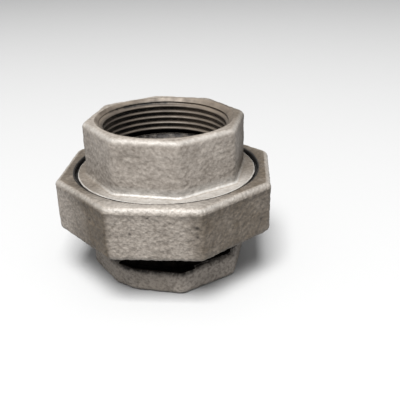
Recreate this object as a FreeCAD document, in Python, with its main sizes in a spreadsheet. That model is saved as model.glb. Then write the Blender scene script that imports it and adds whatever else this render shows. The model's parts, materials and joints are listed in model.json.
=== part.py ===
import FreeCAD, Part

import math
import os

import Sketcher

# A DN 40 (1 1/2") pipe union in malleable iron, standing on its tail end with its axis on Z.
# Z = 0 is the open face of the tail end, and the two ends' flats face X and Y.

DIMENSIONS = {
    # both ends: octagons for a wrench, and a 1 1/2" parallel pipe thread inside
    "overall_height": 58.2,
    "end_flats": 55.7,
    "end_corner_round": 2.2,
    "end_rim_round": 2.0,
    "socket_minor": 22.422,
    "socket_mouth": 25.0,
    "socket_depth": 13.0,
    "relief_radius": 24.2,
    "relief_height": 2.6,
    "shelf_drop": 2.2,
    "waterway": 21.0,
    # the 55 degree pipe thread, 11 turns to the inch, on every threaded face
    "pitch": 2.309,
    "flank_angle": 27.5,
    "thread_depth": 1.479,
    "thread_clearance": 0.12,
    "run_out": 1.0,
    "cutter_reach": 0.2,
    # the tail end: octagon, neck, and the collar that the nut pulls up
    "tail_octagon": 9.4,
    "tail_neck": 26.2,
    "ground_corner": 4.6,
    "collar_radius": 31.1,
    "collar_height": 2.8,
    # the nut: 2 1/4" parallel pipe thread above, inward lip below
    "nut_flats": 77.2,
    "nut_height": 19.7,
    "nut_bottom": 19.4,
    "nut_turn": 7.6,
    "nut_corner_round": 2.4,
    "nut_rim_round": 2.0,
    "lip_height": 4.2,
    "lip_hole": 29.9,
    "nut_relief_radius": 33.2,
    "nut_relief_height": 4.2,
    "nut_minor": 31.376,
    "nut_mouth_radius": 34.2,
    "nut_mouth_depth": 2.3,
    "nut_mouth_chamfer": 0.3,
    "nut_lead": 0.8,
    # the gasket
    "bearing_gap": 0.1,
    "gasket_outer": 30.6,
    "gasket_inner": 23.0,
    "gasket_height": 2.0,
    # the male end: a threaded drum below a flat ledge, with the octagon on top
    "drum_core": 24.0,
    "drum_core_height": 5.0,
    "drum_lead": 1.6,
    "rim_radius": 33.2,
    "rim_height": 1.0,
    "rim_round": 0.4,
    "undercut_radius": 31.1,
    "undercut_height": 2.2,
    "ledge_drop": 0.6,
    "ledge_round": 1.6,
}

# Sizes that follow from the driving dimensions. Heights in the male end are from the drum's
# seating face, and heights in the nut are from the nut's underside.
FORMULAS = {
    "end_half_flat": "end_flats / 2",
    "end_half_side": "end_half_flat * tan(22.5 deg)",
    "nut_half_flat": "nut_flats / 2",
    "nut_half_side": "nut_half_flat * tan(22.5 deg)",
    "socket_major": "socket_minor + thread_depth",
    "mouth_chamfer": "socket_mouth - socket_minor",
    "nut_major": "nut_minor + thread_depth",
    "collar_bottom": "nut_bottom + lip_height + bearing_gap",
    "seat": "collar_bottom + collar_height",
    "drum_bottom": "seat + gasket_height + bearing_gap",
    "male_height": "overall_height - drum_bottom",
    "ledge": "nut_bottom + nut_height - ledge_drop - drum_bottom",
    "rim_bottom": "ledge - rim_height",
    "undercut_bottom": "rim_bottom - undercut_height",
    "male_crest": "nut_major - thread_clearance",
    "male_root": "nut_minor - thread_clearance",
    "male_thread_start": "-1 * run_out",
    "top_thread_end": "male_height - socket_depth",
    "nut_thread_top": "nut_height - nut_mouth_depth",
    "nut_thread_bottom": "lip_height + nut_relief_height",
    "nut_thread_start": "drum_bottom - nut_bottom + male_thread_start + pitch * (nut_turn / 360 - 1 / 2)",
}


def make_sheet(doc):
    sheet = doc.addObject("Spreadsheet::Sheet", "Sizes")
    rows = [(name, str(value)) for name, value in DIMENSIONS.items()]
    rows += [(name, "=" + formula) for name, formula in FORMULAS.items()]
    for row, (name, content) in enumerate(rows, start=1):
        sheet.set(f"A{row}", name)
        sheet.set(f"B{row}", content)
        sheet.setAlias(f"B{row}", name)
    doc.recompute()
    return sheet


def sized(formula):
    """The formula with each of the sheet's names written as the sheet's own cell."""
    names = set(DIMENSIONS) | set(FORMULAS)
    words = formula.replace("(", "( ").replace(")", " )").split()
    return " ".join("Sizes." + word if word in names else word for word in words)


def bind(item, path, formula):
    item.setExpression(path, sized(formula))


def new_body(doc, label):
    body = doc.addObject("PartDesign::Body", label)
    body.Label = label
    return body


def new_sketch(body, name, role):
    sketch = body.newObject("Sketcher::SketchObject", name)
    plane = next(item for item in body.Origin.OriginFeatures if item.Role == role)
    sketch.AttachmentSupport = (plane, "")
    sketch.MapMode = "FlatFace"
    return sketch


def place_corner(sketch, line, formulas):
    """Holds the start of a line at the two formulas, measured from the sketch's origin."""
    for kind, axis, formula in zip(("DistanceX", "DistanceY"), (-2, -1), formulas):
        value = sketch.evalExpression(sized(formula))
        if abs(value) < 1e-9:
            sketch.addConstraint(Sketcher.Constraint("PointOnObject", line, 1, axis))
            continue
        number = sketch.addConstraint(Sketcher.Constraint(kind, -1, 1, line, 1, float(value)))
        bind(sketch, f"Constraints[{number}]", formula)


def outline(body, name, role, corners):
    """A closed outline of straight lines through corners that are pairs of formulas."""
    sketch = new_sketch(body, name, role)
    points = [
        FreeCAD.Vector(*(float(sketch.evalExpression(sized(f))) for f in corner), 0) for corner in corners
    ]
    count = len(points)
    for line in range(count):
        sketch.addGeometry(Part.LineSegment(points[line], points[(line + 1) % count]))
    for line in range(count):
        sketch.addConstraint(Sketcher.Constraint("Coincident", line, 2, (line + 1) % count, 1))
    for line, corner in enumerate(corners):
        place_corner(sketch, line, corner)
    return sketch


def octagon(body, name, half_flat, half_side, base):
    near = [(half_flat, half_side), (half_side, half_flat)]
    quarters = [
        near,
        [("-1 * " + x, y) for x, y in reversed(near)],
        [("-1 * " + x, "-1 * " + y) for x, y in near],
        [(x, "-1 * " + y) for x, y in reversed(near)],
    ]
    sketch = outline(body, name, "XY_Plane", [corner for quarter in quarters for corner in quarter])
    bind(sketch, "AttachmentOffset.Base.z", base)
    return sketch


def quartered_circle(body, name, radius, base):
    """A circle of four arcs, so that a hole cut from it has its wall in four faces."""
    sketch = new_sketch(body, name, "XY_Plane")
    size = float(sketch.evalExpression(sized(radius)))
    circle = Part.Circle(FreeCAD.Vector(0, 0, 0), FreeCAD.Vector(0, 0, 1), size)
    for arc in range(4):
        sketch.addGeometry(Part.ArcOfCircle(circle, arc * math.pi / 2, (arc + 1) * math.pi / 2))
    for arc in range(4):
        sketch.addConstraint(Sketcher.Constraint("Coincident", arc, 3, -1, 1))
        sketch.addConstraint(Sketcher.Constraint("PointOnObject", arc, 2, -2 if arc % 2 == 0 else -1))
    for arc in range(3):
        sketch.addConstraint(Sketcher.Constraint("Coincident", arc, 2, arc + 1, 1))
    sketch.addConstraint(Sketcher.Constraint("PointOnObject", 0, 1, -1))
    number = sketch.addConstraint(Sketcher.Constraint("Radius", 0, size))
    bind(sketch, f"Constraints[{number}]", radius)
    bind(sketch, "AttachmentOffset.Base.z", base)
    return sketch


def feature(body, kind, name, profile):
    item = body.newObject("PartDesign::" + kind, name)
    item.Profile = profile
    item.Refine = False
    return item


def must_change(body, before, sign, name):
    """Stops the build if the last feature added or removed nothing."""
    change = (body.Shape.Volume - before) * sign
    if change <= 0:
        raise RuntimeError(f"{body.Label}: {name} changed the volume by {change * sign:.3f} mm3")


def pad(body, profile, height):
    item = feature(body, "Pad", profile.Name + "Pad", profile)
    bind(item, "Length", height)
    body.Document.recompute()
    return item


def pocket_up(body, profile, depth):
    before = body.Shape.Volume
    item = feature(body, "Pocket", profile.Name + "Pocket", profile)
    item.Reversed = True
    bind(item, "Length", depth)
    body.Document.recompute()
    must_change(body, before, -1, item.Name)
    return item


def turned(body, kind, profile, sign):
    """A Revolution that adds, or a Groove that cuts, a full turn of the profile about Z."""
    before = body.Shape.Volume
    item = feature(body, kind, profile.Name + kind, profile)
    item.ReferenceAxis = (profile, ["V_Axis"])
    item.Angle = 360
    body.Document.recompute()
    must_change(body, before, sign, item.Name)
    return item


def edges_where(body, test):
    shape = body.Tip.Shape
    return [f"Edge{number}" for number, edge in enumerate(shape.Edges, start=1) if test(edge)]


def dress(body, kind, name, size, test):
    """A Fillet or Chamfer on every edge that passes the test."""
    edges = edges_where(body, test)
    if not edges:
        raise RuntimeError(f"{body.Label}: {name} found no edge")
    base = body.Tip
    item = body.newObject("PartDesign::" + kind, name)
    item.Base = (base, edges)
    item.Refine = False
    bind(item, "Radius" if kind == "Fillet" else "Size", size)
    body.Document.recompute()
    return item


def is_upright(edge):
    first, last = (vertex.Point for vertex in (edge.Vertexes[0], edge.Vertexes[-1]))
    return abs(first.x - last.x) < 1e-6 and abs(first.y - last.y) < 1e-6 and abs(first.z - last.z) > 1.0


def angle_of(edge):
    point = edge.CenterOfMass
    return math.degrees(math.atan2(point.y, point.x))


def is_level_at(height):
    return lambda edge: abs(edge.BoundBox.ZMin - height) < 1e-6 and abs(edge.BoundBox.ZMax - height) < 1e-6


def cut_thread(body, name, inner, outer, half_width_in, half_width_out, start, travel):
    """Cuts a right-hand groove that climbs from the start height by the travel."""
    corners = [
        (inner, f"{start} - ( {half_width_in} )"),
        (outer, f"{start} - ( {half_width_out} )"),
        (outer, f"{start} + ( {half_width_out} )"),
        (inner, f"{start} + ( {half_width_in} )"),
    ]
    profile = outline(body, name + "Profile", "XZ_Plane", corners)
    before = body.Shape.Volume
    item = feature(body, "SubtractiveHelix", name, profile)
    item.ReferenceAxis = (profile, ["V_Axis"])
    item.Mode = "pitch-height-angle"
    bind(item, "Pitch", "pitch")
    bind(item, "Height", travel)
    body.Document.recompute()
    must_change(body, before, -1, name)
    return item


def cut_inside_thread(body, name, minor, major, start, travel):
    """A female thread: its groove narrows from the bore out to the major radius."""
    slope = "tan(flank_angle * 1 deg)"
    middle = "pitch / 4"
    return cut_thread(
        body,
        name,
        f"{minor} - cutter_reach",
        major,
        f"{middle} + ( thread_depth / 2 + cutter_reach ) * {slope}",
        f"{middle} - thread_depth / 2 * {slope}",
        start,
        travel,
    )


def cut_outside_thread(body, name, root, crest, start, travel):
    """A male thread: its groove widens outward, and is wider by the clearance to the nut."""
    slope = "tan(flank_angle * 1 deg)"
    middle = "pitch / 4 + thread_clearance / cos(flank_angle * 1 deg)"
    below = "( thread_depth / 2 + thread_clearance )"
    above = "( thread_depth / 2 - thread_clearance + cutter_reach )"
    return cut_thread(
        body,
        name,
        root,
        f"{crest} + cutter_reach",
        f"{middle} - {below} * {slope}",
        f"{middle} + {above} * {slope}",
        start,
        travel,
    )


def cut_socket(body, cavity, bore_base, mouth, thread_start):
    """The inside of one end: the cast cavity, then the bore, its chamfered mouth and its thread."""
    turned(body, "Groove", outline(body, "Cavity", "XZ_Plane", cavity), -1)
    pocket_up(body, quartered_circle(body, "Bore", "socket_minor", bore_base), "socket_depth")
    level = float(body.evalExpression(sized(mouth)))
    bore_radius = float(body.evalExpression(sized("socket_minor")))

    def is_mouth(edge):
        return is_level_at(level)(edge) and abs(getattr(edge.Curve, "Radius", 0) - bore_radius) < 1e-6

    dress(body, "Chamfer", "Mouth", "mouth_chamfer", is_mouth)
    travel = "socket_depth + 2 * run_out"
    cut_inside_thread(body, "SocketThread", "socket_minor", "socket_major", thread_start, travel)


def is_ground_corner(edge):
    """The tail octagon's corner that is ground flat where the casting was cut from its gate."""
    return is_upright(edge) and abs(angle_of(edge) + 112.5) < 1


def make_tail_end(doc):
    body = new_body(doc, "tail_end")
    pad(body, octagon(body, "Octagon", "end_half_flat", "end_half_side", "0"), "tail_octagon")
    dress(body, "Chamfer", "GroundCorner", "ground_corner", is_ground_corner)
    dress(body, "Fillet", "Corners", "end_corner_round", is_upright)
    height = float(body.evalExpression(sized("tail_octagon")))
    dress(body, "Fillet", "Rims", "end_rim_round", lambda e: is_level_at(0)(e) or is_level_at(height)(e))
    stem = [
        ("0", "tail_octagon / 2"),
        ("tail_neck", "tail_octagon / 2"),
        ("tail_neck", "collar_bottom"),
        ("collar_radius", "collar_bottom"),
        ("collar_radius", "seat"),
        ("0", "seat"),
    ]
    turned(body, "Revolution", outline(body, "Stem", "XZ_Plane", stem), 1)
    cavity = [
        ("0", "socket_depth"),
        ("relief_radius", "socket_depth"),
        ("relief_radius", "socket_depth + relief_height"),
        ("waterway", "socket_depth + relief_height + shelf_drop"),
        ("waterway", "seat + 1"),
        ("0", "seat + 1"),
    ]
    cut_socket(body, cavity, "0", "0", "-1 * run_out")
    return body


def make_union_nut(doc):
    body = new_body(doc, "union_nut")
    pad(body, octagon(body, "Octagon", "nut_half_flat", "nut_half_side", "0"), "nut_height")
    dress(body, "Fillet", "Corners", "nut_corner_round", is_upright)
    height = float(body.evalExpression(sized("nut_height")))
    dress(body, "Fillet", "Rims", "nut_rim_round", lambda e: is_level_at(0)(e) or is_level_at(height)(e))
    cavity = [
        ("0", "-1"),
        ("lip_hole", "-1"),
        ("lip_hole", "lip_height"),
        ("nut_relief_radius", "lip_height"),
        ("nut_relief_radius", "nut_thread_bottom"),
        ("nut_minor", "nut_thread_bottom"),
        ("nut_minor", "nut_thread_top - nut_lead"),
        ("nut_minor + nut_lead", "nut_thread_top"),
        ("nut_mouth_radius", "nut_thread_top"),
        ("nut_mouth_radius", "nut_height - nut_mouth_chamfer"),
        ("nut_mouth_radius + nut_mouth_chamfer", "nut_height"),
        ("nut_mouth_radius + nut_mouth_chamfer", "nut_height + 1"),
        ("0", "nut_height + 1"),
    ]
    turned(body, "Groove", outline(body, "Cavity", "XZ_Plane", cavity), -1)
    travel = "nut_thread_top + run_out - nut_thread_start"
    cut_inside_thread(body, "Thread", "nut_minor", "nut_major", "nut_thread_start", travel)
    upright = FreeCAD.Vector(0, 0, 1)
    body.Placement = FreeCAD.Placement(FreeCAD.Vector(), FreeCAD.Rotation(upright, 1))
    bind(body, "Placement.Base.z", "nut_bottom")
    bind(body, "Placement.Rotation.Angle", "nut_turn")
    return body


def make_gasket(doc):
    body = new_body(doc, "gasket")
    ring = new_sketch(body, "Ring", "XY_Plane")
    for size in ("gasket_outer", "gasket_inner"):
        radius = float(ring.evalExpression(sized(size)))
        circle = Part.Circle(FreeCAD.Vector(0, 0, 0), FreeCAD.Vector(0, 0, 1), radius)
        line = ring.addGeometry(circle)
        ring.addConstraint(Sketcher.Constraint("Coincident", line, 3, -1, 1))
        number = ring.addConstraint(Sketcher.Constraint("Radius", line, radius))
        bind(ring, f"Constraints[{number}]", size)
    pad(body, ring, "gasket_height")
    bind(body, "Placement.Base.z", "seat")
    return body


def make_male_end(doc):
    body = new_body(doc, "male_end")
    octagon_base = octagon(body, "Octagon", "end_half_flat", "end_half_side", "ledge")
    pad(body, octagon_base, "male_height - ledge")
    dress(body, "Fillet", "Corners", "end_corner_round", is_upright)
    top = float(body.evalExpression(sized("male_height")))
    dress(body, "Fillet", "TopRim", "end_rim_round", is_level_at(top))
    drum = [
        ("0", "0"),
        ("male_crest - drum_lead", "0"),
        ("male_crest", "drum_lead"),
        ("male_crest", "undercut_bottom"),
        ("undercut_radius", "undercut_bottom"),
        ("undercut_radius", "rim_bottom"),
        ("rim_radius", "rim_bottom"),
        ("rim_radius", "ledge"),
        ("0", "ledge"),
    ]
    turned(body, "Revolution", outline(body, "Drum", "XZ_Plane", drum), 1)
    ledge = float(body.evalExpression(sized("ledge")))
    rim_radius = float(body.evalExpression(sized("rim_radius")))

    def is_rim(edge):
        return is_level_at(ledge)(edge) and abs(getattr(edge.Curve, "Radius", 0) - rim_radius) < 1e-6

    dress(body, "Fillet", "LedgeRound", "ledge_round", lambda e: is_level_at(ledge)(e) and not is_rim(e))
    dress(body, "Fillet", "RimRound", "rim_round", is_rim)
    cavity = [
        ("0", "-1"),
        ("drum_core", "-1"),
        ("drum_core", "drum_core_height"),
        ("waterway", "drum_core_height + drum_core - waterway"),
        ("waterway", "top_thread_end - relief_height - shelf_drop"),
        ("relief_radius", "top_thread_end - relief_height"),
        ("relief_radius", "top_thread_end"),
        ("0", "top_thread_end"),
    ]
    cut_socket(body, cavity, "top_thread_end", "male_height", "top_thread_end - run_out")
    travel = "rim_bottom - pitch / 2 - male_thread_start"
    cut_outside_thread(body, "Thread", "male_root", "male_crest", "male_thread_start", travel)
    bind(body, "Placement.Base.z", "drum_bottom")
    return body


def check(doc):
    for item in doc.Objects:
        if set(item.State) & {"Invalid", "Error"}:
            raise RuntimeError(f"{item.Name} is {item.State}")


def write(bodies):
    os.makedirs("parts", exist_ok=True)
    for body in bodies:
        shape = body.Shape
        if shape.isNull() or not shape.isValid() or len(shape.Solids) != 1:
            raise RuntimeError(f"{body.Label} isn't one valid solid")
        box = shape.BoundBox
        print(f"{body.Label}: {shape.Volume:.0f} mm3, Z {box.ZMin:.2f} to {box.ZMax:.2f}")
        shape.exportStep(f"parts/{body.Label}.step")


def main():
    doc = FreeCAD.newDocument("PipeUnion")
    make_sheet(doc)
    bodies = [make_tail_end(doc), make_union_nut(doc), make_gasket(doc), make_male_end(doc)]
    doc.recompute()
    check(doc)
    write(bodies)


main()
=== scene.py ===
import json
import math

import bpy
import numpy as np
from mathutils import Matrix, Vector, noise


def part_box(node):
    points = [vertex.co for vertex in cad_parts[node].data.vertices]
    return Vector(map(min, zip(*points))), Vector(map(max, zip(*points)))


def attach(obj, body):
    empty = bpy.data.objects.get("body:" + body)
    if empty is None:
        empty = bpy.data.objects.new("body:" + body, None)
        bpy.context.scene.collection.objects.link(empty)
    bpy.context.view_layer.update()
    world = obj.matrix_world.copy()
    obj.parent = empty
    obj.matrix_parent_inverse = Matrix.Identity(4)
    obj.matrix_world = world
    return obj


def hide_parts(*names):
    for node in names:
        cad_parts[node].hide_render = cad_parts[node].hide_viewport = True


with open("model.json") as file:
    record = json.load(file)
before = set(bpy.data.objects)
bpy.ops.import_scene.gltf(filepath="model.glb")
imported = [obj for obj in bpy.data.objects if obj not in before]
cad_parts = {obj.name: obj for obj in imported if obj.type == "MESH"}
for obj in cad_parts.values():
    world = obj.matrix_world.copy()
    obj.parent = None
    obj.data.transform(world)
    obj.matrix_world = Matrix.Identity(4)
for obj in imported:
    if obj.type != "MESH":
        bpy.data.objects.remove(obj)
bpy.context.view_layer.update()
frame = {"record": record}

# A pipe union in galvanised malleable iron. Each casting is one closed skin: rings of points
# round the pipe axis, one ring after another along the piece's section. Sizes are in
# millimetres until a mesh is made, and Z is the height above the floor. Angles round the axis
# are anticlockwise from +X seen from above, and the camera stands at about -75 degrees.

MM = 0.001

# The two ends' octagons and sockets
END_HALF_FLAT = 27.85
END_CORNER_ROUND = 3.5
EDGE_ROUND = 2.0
SOCKET_DEPTH = 13.0
SOCKET_MOUTH = 25.0
RELIEF_RADIUS = 24.2
RELIEF_HEIGHT = 2.6
RELIEF_CORNER = (0.4, 0.5)
WATERWAY = 21.0
SHELF_DROP = 2.2

# Threads: 11 turns to the inch
PITCH = 2.309
THREAD_DEPTH = 1.479
CREST_FLAT = 1 / 12
RUN_OUT = 1.0
CLEAN_MOUTH = 3.5

# The male end's ledge, and its threaded drum below
LEDGE_DROP = 0.6
LEDGE_ROUND = 1.1
RIM_ROUND = 0.5
RIM_HEIGHT = 1.0
# Height of the painted highlight band at the foot of the octagon's front
BASE_GLOW_HEIGHT = 2.4
UNDERCUT_RADIUS = 31.1
UNDERCUT_HEIGHT = 2.2
DRUM_CREST = 32.735
DRUM_CHAMFER = 1.6
DRUM_BORE = 24.0
DRUM_BORE_DEPTH = 5.0

# The union nut
NUT_HALF_FLAT = 38.6
NUT_CORNER_ROUND = 3.0
NUT_TURN = math.radians(7.6)
NUT_MOUTH = 34.2
NUT_MOUTH_CHAMFER = 0.3
NUT_MOUTH_DEPTH = 2.3
NUT_MINOR = 31.376
NUT_LEAD = 0.8
NUT_RELIEF_RADIUS = 33.2
NUT_RELIEF_HEIGHT = 4.2
LIP_HOLE = 29.9
LIP_HEIGHT = 4.2
STAINED_HEIGHT = 3.0
# Degrees, height and radius of each
NUT_BLOW_HOLES = [
    (-93.9, 29.8, 0.55),
    (-62.4, 32.4, 0.7),
    (-62.2, 29.2, 0.6),
    (-85.2, 35.8, 0.4),
    (-21.0, 26.5, 0.5),
    (-118.0, 31.5, 0.5),
    (24.0, 33.0, 0.6),
    (71.0, 27.5, 0.5),
    (112.0, 31.0, 0.7),
    (166.0, 25.5, 0.6),
]
BLOW_HOLE_DEPTH = 0.30

# The tail end
TAIL_OCTAGON_HEIGHT = 9.4
# Height over which the painted shadow under the nut fades in
SHADOW_FADE_HEIGHT = 1.0
NECK_RADIUS = 26.2
NECK_FOOT_RISE = 0.6
COLLAR_HEIGHT = 2.8
GROUND_CORNER = math.radians(-112.5)
GROUND_DEPTH = 1.76
GROUND_SOFTNESS = 0.35

# The gasket
GASKET_HOLE = 23.0
GASKET_ROUND = 0.25

# Distance between rings
SKIN_STEP = 0.42
CUT_STEP = 0.5
INSIDE_STEP = 0.6
BORE_THREAD_STEP = 0.15
DRUM_THREAD_STEP = 0.22

# Sizes and heights of the sand-cast skin's bumps, and what is taken off them all
SKIN_WAVES = (9.0, 0.12)
SKIN_LUMPS = (2.6, 0.12)
SKIN_CRINKLES = (1.25, 0.14)
SKIN_LEVEL = 0.35
# Without a seed, noise_vector takes its offsets from the clock
SKIN_SEED = 1

# The camera, found by fitting the photograph
VIEW_AZIMUTH = math.radians(15.35)
VIEW_ELEVATION = math.radians(25.6)
VIEW_DISTANCE = 224
VIEW_HEIGHT = 22.7
CAMERA_BACK = (0.18572, -0.884467, 0.428049)
CAMERA_ROLL = math.radians(-1.09)
CAMERA_LENS = 51.615

# Colours, each a dark and a light tone, or one tone
ZINC = ((0.122, 0.104, 0.086), (0.300, 0.270, 0.240))
# Tarnish on the coat, also used as painted shade
TARNISH_AND_SHADE_ZINC = ((0.032, 0.024, 0.016), (0.094, 0.074, 0.053))
# Rubbed zinc, also used as painted highlight
RUBBED_ZINC_AND_HIGHLIGHT = (0.325, 0.315, 0.297)
# Grime, also used as painted shade in gaps, under the nut and deep in the bore
DIRT_AND_SHADE = (0.010, 0.007, 0.005)
# Near-black painted shade for recesses and hidden faces, browner at the back
SHADE_BLACK = ((0.0010, 0.0009, 0.0008), (0.0050, 0.0042, 0.0035))
SHADE_BROWN = ((0.020, 0.016, 0.012), (0.060, 0.048, 0.038))
CUT_IRON = ((0.068, 0.053, 0.040), (0.156, 0.128, 0.100))
# Tarnish on cut iron, used as painted shade on the bore's crests
TARNISH_AND_SHADE_CUT = (0.042, 0.034, 0.027)
# Painted light in the thread roots at the sides
ROOT_LIGHT = (0.150, 0.120, 0.092)
# Painted shade in the thread roots and in the gaps at the mouths
CUT_IRON_SHADE = (0.006, 0.005, 0.004)
FIBRE_SHEET = ((0.012, 0.012, 0.013), (0.05, 0.05, 0.052))
FLOOR_GREY = (0.345, 0.345, 0.345, 1.0)

# A casting's material slots
CAST = 0
MACHINED = 1
# RECESS is the near-black painted shade finish
RECESS = 2


def box_mm(node):
    low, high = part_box(node)
    return [value / MM for value in low], [value / MM for value in high]


def socket_minor():
    """The bore's radius at the thread's crests, which the record's port states."""
    port = next(mount for mount in frame["record"]["mounts"] if mount["name"] == "top_port")
    return port["dims"]["r_mm"]


# ---------------------------------------------------------------- outlines round the axis


class Rings:
    """The rings of one casting: radius and height at every angle, and what each ring is made of."""

    def __init__(self, count):
        self.angles = np.linspace(0, 2 * math.pi, count, endpoint=False)
        self.radii = []
        self.heights = []
        self.roughness = []
        self.edges = []
        self.grime = []
        self.tarnish = []
        self.finishes = []

    def add(self, radius, height, rough=1.0, edge=0.0, grime=0.0, tarnish=0.0, finish=CAST):
        for rows, value in (
            (self.radii, radius),
            (self.roughness, rough),
            (self.edges, edge),
            (self.grime, grime),
            (self.tarnish, tarnish),
            (self.finishes, finish),
        ):
            rows.append(np.broadcast_to(np.asarray(value, float), self.angles.shape))
        self.heights.append(float(height))

    def reverse(self):
        """Puts the rings in the order that turns the skin outward."""
        looks = (self.roughness, self.edges, self.grime, self.tarnish, self.finishes)
        for rows in (self.radii, self.heights, *looks):
            rows.reverse()

    def walk(self, shape, points, step, **look):
        """Rings along straight runs through (size, height) points, first point left out."""
        for (size_a, height_a), (size_b, height_b) in zip(points, points[1:]):
            length = math.hypot(size_b - size_a, height_b - height_a)
            count = max(1, round(length / step))
            for index in range(1, count + 1):
                share = index / count
                size = size_a + (size_b - size_a) * share
                height = height_a + (height_b - height_a) * share
                self.add(shape(size), height, **faded(look, share))

    def round_over(self, shape, centre, radius, start, end, count, wear_and_highlight=1.0, **look):
        """Rings along an arc of the section. Angles are in degrees, 0 outward and 90 up."""
        for index in range(1, count + 1):
            share = index / count
            turn = math.radians(start + (end - start) * share)
            size = centre[0] + radius * math.cos(turn)
            height = centre[1] + radius * math.sin(turn)
            # Lighter at the arc's middle: rubbed wear, and painted highlight where callers raise it
            # on faces toward the lamp
            edge = wear_and_highlight * math.sin(math.pi * share) ** 2
            self.add(shape(size), height, edge=edge, **faded(look, share))

    def blend(self, shape_a, shape_b, height, count, **look):
        """Rings on a level face, from one outline to another."""
        for index in range(1, count + 1):
            share = index / count
            self.add(shape_a * (1 - share) + shape_b * share, height, **faded(look, share))

    def thread(self, crest, root, centre, low, high, step, mouth, tarnish=0.0, **look):
        """Rings from low to high along a right-hand thread with a groove centred at that height.

        mouth is (radius, height) of a 45 degree chamfer that trims the thread's crests. The
        tarnish and painted shade are less near it. The roots are painted dark at the back
        (painted shade) and light at the sides (painted light).
        """
        # Painted shade in the roots at the back, and painted light in the roots at the sides
        root_shade = 0.10 + 0.95 * lobe(self.angles, 128, 62, 55)
        root_light = np.maximum(0.9 * lobe(self.angles, 58, 52, 32), 0.6 * lobe(self.angles, 180, 40, 30))
        outward = math.copysign(1.0, crest - root)
        count = max(1, round(abs(high - low) / step))
        for index in range(count + 1):
            height = low + (high - low) * index / count
            depth = groove(height, self.angles, centre)
            from_mouth = abs(mouth[1] - height)
            radius = crest + (root - crest) * depth
            trim = mouth[0] + outward * from_mouth
            radius = np.minimum(radius, trim) if crest > root else np.maximum(radius, trim)
            self.add(
                radius,
                height,
                edge=root_light * depth,
                grime=root_shade * depth**1.5,
                tarnish=tarnish * min(from_mouth / CLEAN_MOUTH, 1.0),
                **look,
            )


def faded(look, share):
    """The look part of the way along a run. A pair of values fades from the first to the second."""
    values = {}
    for name, value in look.items():
        is_pair = isinstance(value, tuple)
        values[name] = value[0] + (value[1] - value[0]) * share if is_pair else value
    return values


def groove(height, angles, centre):
    """0 on the thread's crest and 1 at its root, with the corners a little rounded."""
    turns = (height - centre) / PITCH - angles / (2 * math.pi)
    away = np.abs(turns - np.round(turns))
    slope = np.clip((0.5 - CREST_FLAT - away) / (0.5 - 2 * CREST_FLAT), 0, 1)
    return 0.5 * slope + 0.5 * slope * slope * (3 - 2 * slope)


def lobe(angles, middle, half_width, fade):
    """1 round the middle angle, falling to 0 over the last part of the half width. Degrees."""
    away = np.abs((np.degrees(angles) - middle + 180) % 360 - 180)
    share = np.clip((half_width - away) / fade, 0, 1)
    return share * share * (3 - 2 * share)


def circle(angles):
    return lambda radius: np.full(angles.shape, float(radius))


def octagon(angles, corner_round, turn=0.0):
    """Octagon outlines with rounded corners, by half the distance across their flats."""
    eighth = math.pi / 8
    from_flat = (angles - turn + eighth) % (2 * eighth) - eighth
    from_corner = eighth - np.abs(from_flat)

    def outline(half_flat):
        inner = half_flat - corner_round
        tangent = math.atan(inner * math.tan(eighth) / half_flat)
        middle = inner / math.cos(eighth)
        inside = np.maximum(corner_round**2 - (middle * np.sin(from_corner)) ** 2, 0)
        corner = middle * np.cos(from_corner) + np.sqrt(inside)
        return np.where(np.abs(from_flat) < tangent, half_flat / np.cos(from_flat), corner)

    return outline


def ground_octagon(angles, corner_round, ground_at, depth):
    """The tail end's octagon, with the corner at that angle ground flat."""
    plain = octagon(angles, corner_round)
    away = (angles - ground_at + math.pi) % (2 * math.pi) - math.pi
    facing = np.maximum(np.cos(away), 0.3)

    def outline(half_flat):
        flat = (half_flat / math.cos(math.pi / 8) - depth) / facing
        whole = plain(half_flat)
        gap = np.clip(0.5 + 0.5 * (flat - whole) / GROUND_SOFTNESS, 0, 1)
        return flat * (1 - gap) + whole * gap - GROUND_SOFTNESS * gap * (1 - gap)

    return outline


# ---------------------------------------------------------------- skins and meshes


def sand_relief(point, seed):
    """Height of the sand-cast skin, never above 0."""
    place = Vector(point) + Vector((37.0, 11.0, 5.0)) * seed
    warp = 0.8 * noise.noise_vector(place / 2.0)
    wave = noise.noise(place / SKIN_WAVES[0])
    lump = noise.noise(place / SKIN_LUMPS[0])
    crinkle = noise.noise(place / SKIN_CRINKLES[0] + warp)
    height = SKIN_WAVES[1] * (wave - SKIN_LEVEL) + SKIN_LUMPS[1] * (lump - SKIN_LEVEL)
    return min(height + SKIN_CRINKLES[1] * (crinkle - SKIN_LEVEL), 0.0)


def blow_holes(rings, places):
    """How far down a blow hole each point is, 1 at its bottom."""
    radii = np.array(rings.radii)
    heights = np.array(rings.heights)[:, None]
    is_cast = np.array(rings.finishes) == CAST
    depth = np.zeros(radii.shape)
    for degrees, height, size in places:
        turned = (rings.angles - math.radians(degrees) + math.pi) % (2 * math.pi) - math.pi
        away = np.hypot(turned * radii, heights - height) / size
        depth = np.maximum(depth, is_cast * np.exp(-(away**2)))
    return depth


def skin_points(rings, seed, holes):
    radii = np.array(rings.radii)
    heights = np.broadcast_to(np.array(rings.heights)[:, None], radii.shape)
    cosine, sine = np.cos(rings.angles), np.sin(rings.angles)
    points = np.stack([radii * cosine, radii * sine, heights], axis=-1)
    around = np.roll(points, -1, axis=1) - np.roll(points, 1, axis=1)
    along = np.roll(points, -1, axis=0) - np.roll(points, 1, axis=0)
    normals = np.cross(along, around)
    normals /= np.maximum(np.linalg.norm(normals, axis=-1, keepdims=True), 1e-9)
    relief = np.array([sand_relief(point, seed) for point in points.reshape(-1, 3)])
    relief = np.array(rings.roughness) * relief.reshape(radii.shape) - BLOW_HOLE_DEPTH * holes
    return points + normals * relief[..., None]


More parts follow.
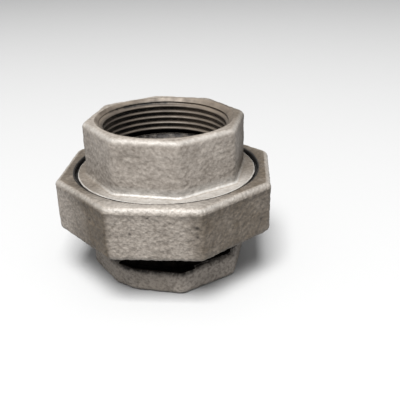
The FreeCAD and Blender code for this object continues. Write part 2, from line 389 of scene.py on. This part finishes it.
def skin_faces(row_count, ring_count):
    rows = np.arange(row_count)[:, None]
    columns = np.arange(ring_count)[None, :]
    next_rows = (rows + 1) % row_count
    next_columns = (columns + 1) % ring_count
    corners = [
        rows * ring_count + columns,
        next_rows * ring_count + columns,
        next_rows * ring_count + next_columns,
        rows * ring_count + next_columns,
    ]
    return np.stack(np.broadcast_arrays(*corners), axis=-1).reshape(-1, 4)


def make_piece(name, rings, materials, body, seed, places=()):
    """A closed mesh from its rings, with wear, grime and tarnish stored at its points, which also
    carry painted highlights and painted shade.
    """
    holes = blow_holes(rings, places)
    points = skin_points(rings, seed, holes)
    grime = np.maximum(rings.grime, 0.8 * holes)
    row_count, ring_count = points.shape[:2]
    mesh = bpy.data.meshes.new(name)
    faces = skin_faces(row_count, ring_count)
    mesh.from_pydata((points.reshape(-1, 3) * MM).tolist(), [], faces.tolist())
    for material in materials:
        mesh.materials.append(material)
    mesh.polygons.foreach_set("material_index", np.array(rings.finishes, np.int32).ravel())
    mesh.polygons.foreach_set("use_smooth", np.ones(len(faces), bool))
    for label, values in (("edge", rings.edges), ("grime", grime), ("tarnish", rings.tarnish)):
        layer = mesh.attributes.new(label, "FLOAT", "POINT")
        layer.data.foreach_set("value", np.array(values, np.float32).ravel())
    mesh.update()
    piece = bpy.data.objects.new(name, mesh)
    bpy.context.scene.collection.objects.link(piece)
    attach(piece, body)
    return piece


# ---------------------------------------------------------------- materials


class Nodes:
    """Short calls for building one material's node tree."""

    def __init__(self, name):
        self.material = bpy.data.materials.new(name)
        self.material.use_nodes = True
        self.tree = self.material.node_tree
        self.shader = self.tree.nodes["Principled BSDF"]
        self.place = self.tree.nodes.new("ShaderNodeTexCoord").outputs["Object"]

    def link(self, source, target):
        self.tree.links.new(source, target)

    def finish(self, colour, roughness, normal):
        """Links the shader's colour, roughness and normal."""
        self.link(colour, self.shader.inputs["Base Color"])
        self.link(roughness, self.shader.inputs["Roughness"])
        self.link(normal, self.shader.inputs["Normal"])

    def noise(self, scale, detail=2.0, rough=0.5, warp=0.0):
        """Noise with that many bumps to the metre."""
        node = self.tree.nodes.new("ShaderNodeTexNoise")
        node.inputs["Scale"].default_value = scale
        node.inputs["Detail"].default_value = detail
        node.inputs["Roughness"].default_value = rough
        node.inputs["Distortion"].default_value = warp
        self.link(self.place, node.inputs["Vector"])
        return node.outputs["Fac"]

    def marks_round_axis(self, across, along):
        """Noise drawn out round the axis, with that many bumps to the metre across and along it."""
        stretch = self.tree.nodes.new("ShaderNodeMapping")
        stretch.inputs["Scale"].default_value = (across, across, along)
        self.link(self.place, stretch.inputs["Vector"])
        node = self.tree.nodes.new("ShaderNodeTexNoise")
        node.inputs["Scale"].default_value = 1.0
        self.link(stretch.outputs["Vector"], node.inputs["Vector"])
        return node.outputs["Fac"]

    def spread(self, value, low, high, to_low=0.0, to_high=1.0):
        """The value's range from low to high stretched to another, and clamped."""
        node = self.tree.nodes.new("ShaderNodeMapRange")
        node.inputs["From Min"].default_value = low
        node.inputs["From Max"].default_value = high
        node.inputs["To Min"].default_value = to_low
        node.inputs["To Max"].default_value = to_high
        self.link(value, node.inputs["Value"])
        return node.outputs["Result"]

    def attribute(self, label):
        node = self.tree.nodes.new("ShaderNodeAttribute")
        node.attribute_name = label
        return node.outputs["Fac"]

    def mix(self, share, first, second):
        """Colours mixed by a share. Each is a colour or a node's output."""
        node = self.tree.nodes.new("ShaderNodeMix")
        node.data_type = "RGBA"
        self.link(share, node.inputs[0])
        for socket, colour in ((node.inputs[6], first), (node.inputs[7], second)):
            if isinstance(colour, tuple):
                socket.default_value = (*colour, 1.0)
            else:
                self.link(colour, socket)
        return node.outputs[2]

    def math(self, operation, first, second):
        node = self.tree.nodes.new("ShaderNodeMath")
        node.operation = operation
        for socket, value in zip(node.inputs, (first, second)):
            if isinstance(value, (int, float)):
                socket.default_value = value
            else:
                self.link(value, socket)
        return node.outputs[0]

    def clumped(self, label, clumps):
        """An attribute broken up by patchy noise, at most 1."""
        return self.math("MINIMUM", self.math("MULTIPLY", self.attribute(label), clumps), 1.0)

    def bump(self, height, strength, distance):
        node = self.tree.nodes.new("ShaderNodeBump")
        node.inputs["Strength"].default_value = strength
        node.inputs["Distance"].default_value = distance
        self.link(height, node.inputs["Height"])
        return node.outputs["Normal"]


def cast_iron_material(name, crinkled, speckled):
    """Sand-cast iron under a dull zinc coat: mottled, tarnished in places, rubbed on its edges. The
    tarnish and grime also carry painted shade, and the edge values painted highlights.

    crinkled is the bump's strength, and speckled how far the small specks change the colour.
    """
    nodes = Nodes(name)
    crinkle = nodes.noise(780.0, 1.2, 0.5, 0.15)
    speckle = nodes.noise(1000.0, 1.5, 0.5)
    blotches = nodes.noise(140.0, 4.0, 0.55)
    mottle = nodes.math("MULTIPLY", nodes.spread(speckle, 0.32, 0.68), speckled)
    mottle = nodes.math("ADD", mottle, nodes.spread(crinkle, 0.32, 0.66, 0.0, 0.30))
    mottle = nodes.math("ADD", mottle, nodes.spread(blotches, 0.33, 0.68, 0.0, 0.30))

    patches = nodes.spread(nodes.noise(75.0, 4.0, 0.6), 0.34, 0.66, 0.62, 1.0)
    tarnish = nodes.math("MULTIPLY", nodes.attribute("tarnish"), patches)
    coat = nodes.mix(tarnish, nodes.mix(mottle, *ZINC), nodes.mix(mottle, *TARNISH_AND_SHADE_ZINC))

    ragged = nodes.spread(nodes.noise(430.0, 3.0, 0.6), 0.28, 0.56, 0.50, 1.0)
    bare = nodes.spread(tarnish, 0.0, 1.0, 1.0, 0.45)
    edge = nodes.math("MULTIPLY", nodes.attribute("edge"), ragged)
    rubbing_and_highlight = nodes.math("MULTIPLY", edge, bare)
    wear_and_highlight = nodes.mix(rubbing_and_highlight, coat, RUBBED_ZINC_AND_HIGHLIGHT)

    clumps = nodes.spread(nodes.noise(330.0, 3.0, 0.6), 0.30, 0.62, 0.25, 1.5)
    grain = nodes.math("MULTIPLY", crinkle, nodes.spread(rubbing_and_highlight, 0.0, 1.0, 1.0, 0.5))
    nodes.finish(
        colour=nodes.mix(nodes.clumped("grime", clumps), wear_and_highlight, DIRT_AND_SHADE),
        roughness=nodes.spread(rubbing_and_highlight, 0.0, 1.0, 0.60, 0.48),
        normal=nodes.bump(grain, crinkled, 0.0005),
    )
    nodes.shader.inputs["Metallic"].default_value = 0.15
    nodes.shader.inputs["Specular IOR Level"].default_value = 0.38
    return nodes.material


def shade_recess_material():
    """Near-black painted shade for recesses and faces hidden under the nut, mottled. Browner where
    the tarnish attribute is 1.
    """
    nodes = Nodes("oiled_recess")
    shade_mottle = nodes.spread(nodes.noise(420.0, 4.0, 0.6), 0.35, 0.70)
    black, brown = nodes.mix(shade_mottle, *SHADE_BLACK), nodes.mix(shade_mottle, *SHADE_BROWN)
    nodes.finish(
        colour=nodes.mix(nodes.attribute("tarnish"), black, brown),
        roughness=nodes.spread(shade_mottle, 0.0, 1.0, 0.80, 0.95),
        normal=nodes.bump(shade_mottle, 0.4, 0.0002),
    )
    nodes.shader.inputs["Specular IOR Level"].default_value = 0.0
    return nodes.material


def machined_material():
    """Cut iron: darker and shinier than the coat, with fine marks round the axis, and painted shade
    and painted light in the thread roots and gaps.
    """
    nodes = Nodes("cut_iron")
    stains = nodes.spread(nodes.noise(170.0, 4.0, 0.6), 0.35, 0.65)
    metal = nodes.mix(stains, *CUT_IRON)
    metal = nodes.mix(nodes.attribute("tarnish"), metal, TARNISH_AND_SHADE_CUT)
    metal = nodes.mix(nodes.attribute("edge"), metal, ROOT_LIGHT)
    clumps = nodes.spread(nodes.noise(380.0, 3.0, 0.6), 0.34, 0.62, 0.45, 1.35)
    marks = nodes.marks_round_axis(across=60.0, along=5200.0)
    nodes.finish(
        colour=nodes.mix(nodes.clumped("grime", clumps), metal, CUT_IRON_SHADE),
        roughness=nodes.spread(stains, 0.0, 1.0, 0.62, 0.48),
        normal=nodes.bump(marks, 0.25, 0.00004),
    )
    nodes.shader.inputs["Metallic"].default_value = 0.3
    return nodes.material


def gasket_material():
    """Black fibre-rubber sheet, faintly speckled."""
    nodes = Nodes("gasket_sheet")
    specks = nodes.spread(nodes.noise(2200.0, 2.0, 0.5), 0.45, 0.75)
    nodes.finish(
        colour=nodes.mix(specks, *FIBRE_SHEET),
        roughness=nodes.spread(specks, 0.0, 1.0, 0.85, 0.7),
        normal=nodes.bump(nodes.noise(1500.0, 3.0, 0.6), 0.3, 0.00005),
    )
    return nodes.material


# ---------------------------------------------------------------- the pieces


def add_socket(rings, mouth_height, inward, groove_centre):
    """The inside of an end, from the waterway out to the mouth. inward is -1 for the upper end."""
    ring = circle(rings.angles)
    # Painted shade on the bore's crests: darker at the left, the right and a little at the back
    dull_and_shaded = np.max(
        [
            lobe(rings.angles, 195, 85, 55),
            0.85 * lobe(rings.angles, 15, 60, 45),
            0.6 * lobe(rings.angles, 105, 75, 45),
        ],
        axis=0,
    )
    minor = socket_minor()
    depth = mouth_height + inward * SOCKET_DEPTH
    relief = depth + inward * RELIEF_HEIGHT
    shelf = relief + inward * SHELF_DROP
    below_corner = (RELIEF_RADIUS - RELIEF_CORNER[0], relief)
    above_corner = (RELIEF_RADIUS, relief - inward * RELIEF_CORNER[1])
    # The shelf and the relief's corner are painted dark, and the relief's wall takes the near-black
    # finish: painted shade deep in the bore
    shelf_look = {"rough": 1.6, "grime": (0.5, 1.0), "tarnish": 1.2}
    rings.walk(ring, [(WATERWAY, shelf), below_corner], 0.45, **shelf_look)
    rings.walk(ring, [below_corner, above_corner], 0.3, grime=0.9)
    rings.walk(ring, [above_corner, (RELIEF_RADIUS, depth)], 0.4, finish=RECESS)
    rings.thread(
        minor,
        minor + THREAD_DEPTH,
        groove_centre,
        depth,
        mouth_height,
        BORE_THREAD_STEP,
        mouth=(SOCKET_MOUTH, mouth_height),
        rough=0.2,
        tarnish=dull_and_shaded,
        finish=MACHINED,
    )


def make_male_end(materials):
    low, high = box_mm("male_end")
    _, nut_high = box_mm("union_nut")
    base, top, ledge, rim = low[2], high[2], nut_high[2] - LEDGE_DROP, high[0]
    rings = Rings(400)
    ring = circle(rings.angles)
    end = octagon(rings.angles, END_CORNER_ROUND)
    side = END_HALF_FLAT

    # Painted shade: darker on the right and a little at the left, turned from the lamp; painted
    # highlight along the front of the ledge, which faces it
    shaded = 1.2 * lobe(rings.angles, 25, 62, 58)
    dull_and_shaded = np.maximum(shaded, 0.25 * lobe(rings.angles, 200, 90, 90))
    lamp_facing = lobe(rings.angles, -64, 76, 40)
    ledge_tarnish_and_shade = 0.8 * (1 - lamp_facing)

    # The octagon, from the mouth down to the ledge
    mouth, shoulder = ring(SOCKET_MOUTH), (side - EDGE_ROUND, top - EDGE_ROUND)
    foot = ledge + LEDGE_ROUND
    glow_top = foot + BASE_GLOW_HEIGHT
    top_tarnish_and_shade = 0.25 + 0.85 * shaded
    rings.blend(mouth, end(side - EDGE_ROUND), top, 6, rough=0.45, tarnish=top_tarnish_and_shade)
    rings.round_over(end, shoulder, EDGE_ROUND, 90, 0, 6, wear_and_highlight=0.45, tarnish=dull_and_shaded)
    rings.walk(end, [(side, top - EDGE_ROUND), (side, glow_top)], SKIN_STEP, tarnish=dull_and_shaded)
    # A painted highlight band brightens the foot of the front faces
    base_glow = (0.0, 0.6 * lamp_facing)
    rings.walk(end, [(side, glow_top), (side, foot)], SKIN_STEP, edge=base_glow, tarnish=dull_and_shaded)
    # The hollow at the foot: painted highlight along the front
    hollow, wear_and_highlight = (side + LEDGE_ROUND, foot), 0.2 + 0.8 * lamp_facing
    rings.round_over(end, hollow, LEDGE_ROUND, 180, 270, 6, wear_and_highlight=wear_and_highlight, tarnish=ledge_tarnish_and_shade)

    # The ledge and its rim
    # The ledge: painted highlight at the front, painted shade away from it, and darker toward the
    # rim
    ledge_look = {
        "edge": (0.60 * lamp_facing, 0.42 * lamp_facing),
        "grime": (0.0, 0.12),
        "tarnish": ledge_tarnish_and_shade,
    }
    rings.blend(end(side + LEDGE_ROUND), ring(rim - RIM_ROUND), ledge, 8, **ledge_look)
    rings.round_over(ring, (rim - RIM_ROUND, ledge - RIM_ROUND), RIM_ROUND, 90, 0, 4)
    rim_bottom = ledge - RIM_HEIGHT
    thread_top = rim_bottom - UNDERCUT_HEIGHT
    # The rim's side and the undercut are painted dark: painted shade in the gap inside the nut's
    # mouth
    rings.walk(
        ring,
        [
            (rim, ledge - RIM_ROUND),
            (rim, rim_bottom),
            (UNDERCUT_RADIUS, rim_bottom),
            (UNDERCUT_RADIUS, thread_top),
        ],
        CUT_STEP,
        rough=0.1,
        grime=(2.2, 1.2),
        finish=MACHINED,
    )

    # The drum's thread, its seat and the waterway
    drum_foot = (DRUM_CREST - DRUM_CHAMFER, base)
    rings.thread(
        DRUM_CREST,
        DRUM_CREST - THREAD_DEPTH,
        base - RUN_OUT,
        thread_top,
        base,
        DRUM_THREAD_STEP,
        mouth=drum_foot,
        rough=0.05,
        finish=MACHINED,
    )
    bore_top = base + DRUM_BORE_DEPTH
    shelf = top - SOCKET_DEPTH - RELIEF_HEIGHT - SHELF_DROP
    inside = [
        (DRUM_BORE, base),
        (DRUM_BORE, bore_top),
        (WATERWAY, bore_top + DRUM_BORE - WATERWAY),
        (WATERWAY, shelf),
    ]
    rings.walk(ring, [drum_foot, (DRUM_BORE, base)], CUT_STEP, rough=0.03, finish=MACHINED)
    rings.walk(ring, inside, INSIDE_STEP)
    add_socket(rings, top, -1, top - SOCKET_DEPTH - RUN_OUT)
    piece = make_piece("male_end_casting", rings, materials, "male", 1)
    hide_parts("male_end")


def make_union_nut(materials):
    low, high = box_mm("union_nut")
    male_low, _ = box_mm("male_end")
    base, top = low[2], high[2]
    rings = Rings(560)
    ring = circle(rings.angles)
    body = octagon(rings.angles, NUT_CORNER_ROUND, NUT_TURN)
    side = NUT_HALF_FLAT

    # Painted shade: darker on the faces beside the front one, at the back, by the left corner, and
    # on the top away from the front; the front's top edge is clean and gets a painted highlight
    beside = [
        lobe(rings.angles, -25, 44, 10),
        1.45 * lobe(rings.angles, -107, 42, 40) * (1 - lobe(rings.angles, -82, 25, 5)),
        0.5 * lobe(rings.angles, 90, 75, 40),
    ]
    dull_and_shaded = 0.25 + 0.85 * np.max(beside, axis=0)
    lit_front = lobe(rings.angles, -82, 62, 50)
    top_tarnish_and_shade = 0.20 + 0.95 * (1 - lit_front)
    edge_tarnish_and_shade = 0.4 * dull_and_shaded + 0.6 * lobe(rings.angles, -128, 34, 22)

    # The outside, from the mouth down to the lip
    chamfer = NUT_MOUTH + NUT_MOUTH_CHAMFER
    # The top: painted highlight along the front, and darker near the mouth
    top_look = {"rough": 0.8, "edge": 0.24 * lit_front, "grime": (0.3, 0.0), "tarnish": top_tarnish_and_shade}
    rings.blend(ring(chamfer), body(side - EDGE_ROUND), top, 10, **top_look)
    shoulder, fading = (side - EDGE_ROUND, top - EDGE_ROUND), (0.5 * top_tarnish_and_shade, edge_tarnish_and_shade)
    rings.round_over(body, shoulder, EDGE_ROUND, 90, 0, 8, wear_and_highlight=0.42, tarnish=fading)
    stained = top - EDGE_ROUND - STAINED_HEIGHT
    stains = {"grime": (0.30, 0.0), "tarnish": dull_and_shaded}
    rings.walk(body, [(side, top - EDGE_ROUND), (side, stained)], SKIN_STEP, **stains)
    rings.walk(body, [(side, stained), (side, base + EDGE_ROUND)], SKIN_STEP, tarnish=dull_and_shaded)
    lower = (side - EDGE_ROUND, base + EDGE_ROUND)
    rings.round_over(body, lower, EDGE_ROUND, 0, -90, 5, wear_and_highlight=0.1, tarnish=dull_and_shaded)
    # The underside darkens toward the lip hole: painted shade under the nut
    under_look = {"grime": (0.3, 0.95), "tarnish": dull_and_shaded}
    rings.blend(body(side - EDGE_ROUND), ring(LIP_HOLE), base, 12, **under_look)

    # The inside, from the lip up to the mouth
    lip_top = base + LIP_HEIGHT
    relief_top = lip_top + NUT_RELIEF_HEIGHT
    thread_top = top - NUT_MOUTH_DEPTH
    # The lip and relief take the near-black finish: painted shade inside the nut
    rings.walk(
        ring,
        [
            (LIP_HOLE, base),
            (LIP_HOLE, lip_top),
            (NUT_RELIEF_RADIUS, lip_top),
            (NUT_RELIEF_RADIUS, relief_top),
        ],
        CUT_STEP,
        rough=0.2,
        finish=RECESS,
    )
    rings.thread(
        NUT_MINOR,
        NUT_MINOR + THREAD_DEPTH,
        male_low[2] - RUN_OUT - PITCH / 2,
        relief_top,
        thread_top,
        BORE_THREAD_STEP,
        mouth=(NUT_MINOR + NUT_LEAD, thread_top),
        rough=0.05,
        finish=MACHINED,
    )
    # The mouth's wall is painted dark: painted shade in the gap round the male end's rim
    rings.walk(
        ring,
        [
            (NUT_MINOR + NUT_LEAD, thread_top),
            (NUT_MOUTH, thread_top),
            (NUT_MOUTH, top - NUT_MOUTH_CHAMFER),
            (chamfer, top),
        ],
        0.3,
        rough=0.1,
        grime=2.2,
        finish=MACHINED,
    )
    piece = make_piece("union_nut_casting", rings, materials, "nut", 2, NUT_BLOW_HOLES)
    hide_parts("union_nut")


def make_tail_end(materials):
    low, high = box_mm("tail_end")
    base, seat, collar = low[2], high[2], high[0]
    rings = Rings(400)
    ring = circle(rings.angles)
    end = ground_octagon(rings.angles, END_CORNER_ROUND, GROUND_CORNER, GROUND_DEPTH)
    side = END_HALF_FLAT

    # Duller than the other pieces, partly as painted shade under the nut, and painted black at the
    # front: painted shade where the nut hangs over it
    dull_and_shaded = 0.60 - 0.25 * lobe(rings.angles, -45, 38, 22)
    black = 0.25 + 0.75 * lobe(rings.angles, -87, 38, 18)
    hidden = np.where(lobe(rings.angles, -88, 33, 4) > 0.5, RECESS, CAST)

    # The octagon, from the mouth on the floor up to the neck
    octagon_top = base + TAIL_OCTAGON_HEIGHT
    lower = (side - EDGE_ROUND, base + EDGE_ROUND)
    shoulder = (side - EDGE_ROUND, octagon_top - EDGE_ROUND)
    shadow_fade_low = shoulder[1] - SHADOW_FADE_HEIGHT
    rings.blend(ring(SOCKET_MOUTH), end(side - EDGE_ROUND), base, 6, rough=0.45, tarnish=dull_and_shaded)
    rings.round_over(end, lower, EDGE_ROUND, -90, 0, 5, wear_and_highlight=0.1, tarnish=dull_and_shaded)
    rings.walk(end, [(side, lower[1]), (side, shadow_fade_low)], SKIN_STEP, tarnish=dull_and_shaded)
    # The faces' tops and the shoulder turn black toward the neck at the front: a painted shadow of
    # the nut
    nut_shadow_paint = (0.0, 0.15 * black)
    rings.walk(end, [(side, shadow_fade_low), (side, shoulder[1])], 0.35, grime=nut_shadow_paint, tarnish=dull_and_shaded)
    nut_shadow_paint = (0.15 * black, 1.2 * black)
    rings.round_over(end, shoulder, EDGE_ROUND, 0, 50, 5, wear_and_highlight=0.0, grime=nut_shadow_paint, tarnish=dull_and_shaded)
    nut_shadow_paint = (1.2 * black, 3.0 * black)
    rings.round_over(end, shoulder, EDGE_ROUND, 50, 90, 4, wear_and_highlight=0.0, grime=nut_shadow_paint, finish=hidden)

    # The neck, the collar and its seat
    foot = octagon_top + NECK_FOOT_RISE
    collar_bottom = seat - COLLAR_HEIGHT
    # The neck takes the near-black finish, black at the front and browner at the back: painted
    # shade under the nut
    neck_look = {"tarnish": 1 - lobe(rings.angles, -85, 100, 50), "finish": RECESS}
    rings.blend(end(side - EDGE_ROUND), ring(NECK_RADIUS), foot, 4, **neck_look)
    rings.walk(ring, [(NECK_RADIUS, foot), (NECK_RADIUS, collar_bottom)], CUT_STEP, **neck_look)
    rings.walk(
        ring,
        [
            (NECK_RADIUS, collar_bottom),
            (collar, collar_bottom),
            (collar, seat),
            (WATERWAY, seat),
        ],
        CUT_STEP,
        rough=0.03,
        finish=MACHINED,
    )
    shelf = base + SOCKET_DEPTH + RELIEF_HEIGHT + SHELF_DROP
    rings.walk(ring, [(WATERWAY, seat), (WATERWAY, shelf)], INSIDE_STEP)
    add_socket(rings, base, 1, base - RUN_OUT)
    rings.reverse()
    piece = make_piece("tail_end_casting", rings, materials, "tail", 3)
    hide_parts("tail_end")


def make_gasket(sheet):
    low, high = box_mm("gasket")
    rings = Rings(240)
    ring = circle(rings.angles)
    base, top, soft = low[2], high[2], GASKET_ROUND
    outer, inner = high[0] - soft, GASKET_HOLE + soft
    rings.round_over(ring, (outer, base + soft), soft, -90, 0, 3)
    rings.round_over(ring, (outer, top - soft), soft, 0, 90, 3)
    rings.walk(ring, [(outer, top), (inner, top)], INSIDE_STEP, rough=0.1)
    rings.round_over(ring, (inner, top - soft), soft, 90, 180, 3)
    rings.round_over(ring, (inner, base + soft), soft, 180, 270, 3)
    rings.walk(ring, [(inner, base), (outer, base)], INSIDE_STEP, rough=0.1)
    rings.reverse()
    piece = make_piece("gasket_ring", rings, [sheet], "tail", 4)
    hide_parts("gasket")


# ---------------------------------------------------------------- stage, lights and camera


def make_floor():
    """A pale sweep that rises far behind the object. Sizes in metres."""
    mesh = bpy.data.meshes.new("floor")
    half, bend, rise, count = 1.6, 0.35, 1.4, 16
    section = [(-half, 0.0), (half - bend, 0.0)]
    for index in range(1, count + 1):
        turn = math.pi / 2 * index / count
        section.append((half - bend + bend * math.sin(turn), bend - bend * math.cos(turn)))
    section.append((half, rise))
    points = [(x, along, up) for along, up in section for x in (-half, half)]
    faces = [(2 * i, 2 * i + 1, 2 * i + 3, 2 * i + 2) for i in range(len(section) - 1)]
    mesh.from_pydata(points, [], faces)
    mesh.polygons.foreach_set("use_smooth", np.ones(len(faces), bool))
    nodes = Nodes("floor_paper")
    nodes.shader.inputs["Base Color"].default_value = FLOOR_GREY
    nodes.shader.inputs["Roughness"].default_value = 0.9
    mesh.materials.append(nodes.material)
    floor = bpy.data.objects.new("floor", mesh)
    floor.rotation_euler = (0, 0, VIEW_AZIMUTH)
    bpy.context.scene.collection.objects.link(floor)


def make_light(name, azimuth, elevation, distance, size, power):
    """A square soft light that looks at the object's middle. Azimuth 0 is the camera's side."""
    lamp = bpy.data.lights.new(name, "AREA")
    lamp.shape = "SQUARE"
    lamp.size = size
    lamp.energy = power
    turn = VIEW_AZIMUTH + math.radians(azimuth) - math.pi / 2
    tilt = math.radians(elevation)
    level = math.cos(tilt)
    towards = Vector((level * math.cos(turn), level * math.sin(turn), math.sin(tilt)))
    light = bpy.data.objects.new(name, lamp)
    light.location = towards * distance + Vector((0, 0, 0.03))
    light.rotation_euler = towards.to_track_quat("Z", "Y").to_euler()
    bpy.context.scene.collection.objects.link(light)


def make_lights():
    world = bpy.data.worlds.new("studio")
    world.use_nodes = True
    background = world.node_tree.nodes["Background"]
    background.inputs["Color"].default_value = (1.0, 1.0, 1.0, 1.0)
    background.inputs["Strength"].default_value = 0.60
    bpy.context.scene.world = world
    make_light("key_softbox", azimuth=-12, elevation=64, distance=1.6, size=0.75, power=70.0)


def make_camera():
    """224 mm from the union's middle and 25.6 degrees up, turned a little to its right."""
    level_x, level_y = math.sin(VIEW_AZIMUTH), -math.cos(VIEW_AZIMUTH)
    towards = Vector((level_x, level_y, math.tan(VIEW_ELEVATION))).normalized()
    camera = bpy.data.objects.new("camera", bpy.data.cameras.new("camera"))
    camera.location = (Vector((0, 0, VIEW_HEIGHT)) + towards * VIEW_DISTANCE) * MM
    level = Vector(CAMERA_BACK).to_track_quat("Z", "Y").to_matrix()
    camera.rotation_euler = (level @ Matrix.Rotation(CAMERA_ROLL, 3, "Z")).to_euler()
    camera.data.sensor_width = 36.0
    camera.data.lens = CAMERA_LENS
    camera.data.clip_start = 0.01
    bpy.context.scene.collection.objects.link(camera)
    bpy.context.scene.camera = camera


def main():
    noise.seed_set(SKIN_SEED)
    bpy.context.scene.view_settings.view_transform = "Standard"
    shared = [machined_material(), shade_recess_material()]
    make_male_end([cast_iron_material("galvanised_iron_male", 0.50, 0.30), *shared])
    make_union_nut([cast_iron_material("galvanised_iron_nut", 1.0, 0.40), *shared])
    make_tail_end([cast_iron_material("galvanised_iron_tail", 1.0, 1.0), *shared])
    make_gasket(gasket_material())
    make_floor()
    make_lights()
    make_camera()


main()
